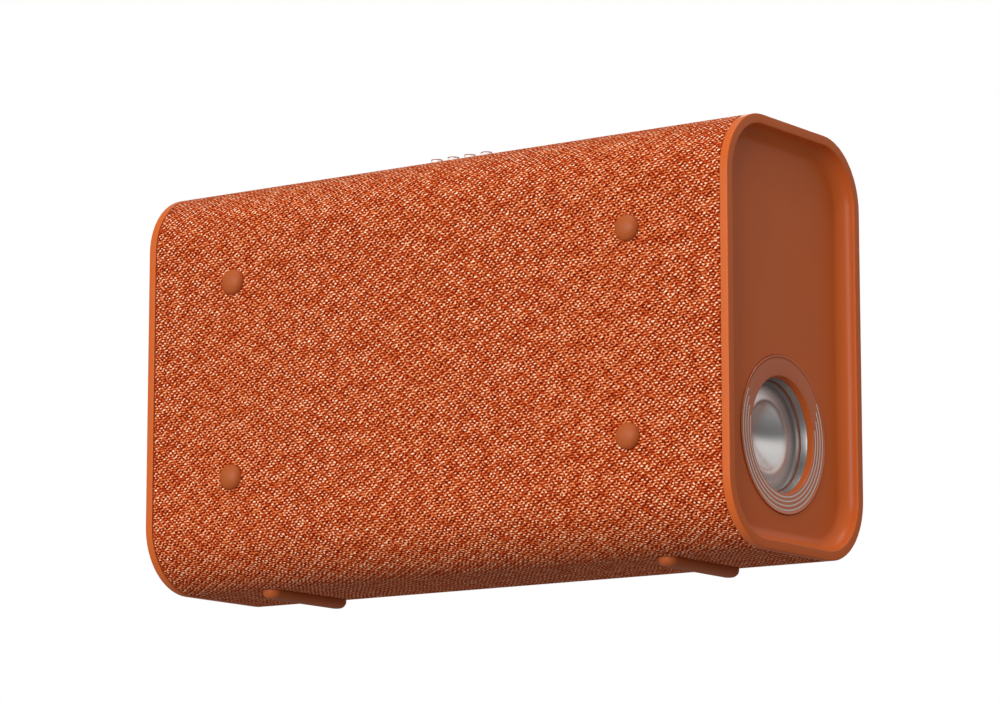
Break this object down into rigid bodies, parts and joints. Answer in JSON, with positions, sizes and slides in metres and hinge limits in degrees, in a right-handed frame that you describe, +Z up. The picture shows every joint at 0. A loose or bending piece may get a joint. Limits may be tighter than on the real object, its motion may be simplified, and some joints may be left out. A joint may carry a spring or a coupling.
{
  "type": "power station",
  "caption": "Portable camping power station: long rounded box in an orange textile sleeve, recessed plastic ends, torch in one end, socket bay in the other, push buttons on top.",
  "frame": {"origin": "on the table, under the centre of the bounding box", "axes": "+X along the length towards the socket end, +Y towards the back with the round feet, +Z up"},
  "size_m": [0.311, 0.112, 0.1896],
  "materials": {
    "fabric": "coarse heathered twill",
    "shell": "satin moulded",
    "core": "matt",
    "feet": "matt",
    "seal": "matt",
    "chrome": "satin",
    "reflector": "satin metallised",
    "lens": "clear",
    "key": "pale, slightly clear",
    "board": "solder mask",
    "cell": "sleeved",
    "nickel": "nickel plated",
    "heat_sink": "plain",
    "steel": "zinc plated",
    "cable": "sheath"
  },
  "bodies": {
    "housing": {"back_foot_lower_ports_side": "feet", "back_foot_lower_torch_side": "feet", "back_foot_upper_ports_side": "feet", "back_foot_upper_torch_side": "feet", "base_foot_ports_side": "feet", "base_foot_torch_side": "feet", "battery_cable": "cable", "battery_cell_1": "cell", "battery_cell_2": "cell", "battery_cell_3": "cell", "battery_cell_4": "cell", "battery_strap_left": "seal", "battery_strap_right": "seal", "battery_tray": "core", "bay_door_pin": "steel", "button_guide": "core", "case_screw_ports_back": "steel", "case_screw_ports_front": "steel", "case_screw_torch_back": "steel", "case_screw_torch_front": "steel", "cell_link_1": "nickel", "cell_link_2": "nickel", "cell_link_3": "nickel", "control_screw_left": "steel", "control_screw_right": "steel", "core_shell_front": "core", "core_shell_rear": "core", "dc_input_socket": "core", "dc_output_socket": "core", "end_cap_ports": "shell", "end_cap_torch": "shell", "end_seal_ports": "seal", "end_seal_torch": "seal", "fabric_sleeve": "fabric", "main_board": "board", "main_capacitor_1": "core", "main_capacitor_2": "core", "main_heatsink": "heat_sink", "main_inductor": "heat_sink", "port_board": "board", "protection_board": "board", "switch_board": "board", "torch_bezel": "shell", "torch_cable": "cable", "torch_collar": "shell", "torch_dish": "reflector", "torch_emitter": "lens", "torch_heatsink": "heat_sink", "torch_led_board": "board", "torch_trim_ring": "chrome", "usb_a_socket_1": "nickel", "usb_a_socket_2": "nickel", "usb_c_socket_1": "nickel", "usb_c_socket_2": "nickel"},
    "door": {"bay_door": "shell", "bay_door_seal": "seal"},
    "battery_check_button": {"button_battery_check": "key"},
    "usb_button": {"button_usb": "key"},
    "torch_button": {"button_torch": "key"},
    "power_button": {"button_power": "key"}
  },
  "joints": [
    {"name": "battery_check_press", "type": "slide", "parent": "housing", "child": "battery_check_button", "axis": [0, 0, -1], "range_m": [0, 0.001], "stiffness_N_per_m": 1200},
    {"name": "usb_press", "type": "slide", "parent": "housing", "child": "usb_button", "axis": [0, 0, -1], "range_m": [0, 0.001], "stiffness_N_per_m": 1200},
    {"name": "torch_press", "type": "slide", "parent": "housing", "child": "torch_button", "axis": [0, 0, -1], "range_m": [0, 0.001], "stiffness_N_per_m": 1200},
    {"name": "power_press", "type": "slide", "parent": "housing", "child": "power_button", "axis": [0, 0, -1], "range_m": [0, 0.001], "stiffness_N_per_m": 1200},
    {"name": "bay_door_hinge", "type": "hinge", "parent": "housing", "child": "door", "pos_m": [0.1456, -0.002, 0.0812], "axis": [0, -1, 0], "range_deg": [0, 90]}
  ]
}
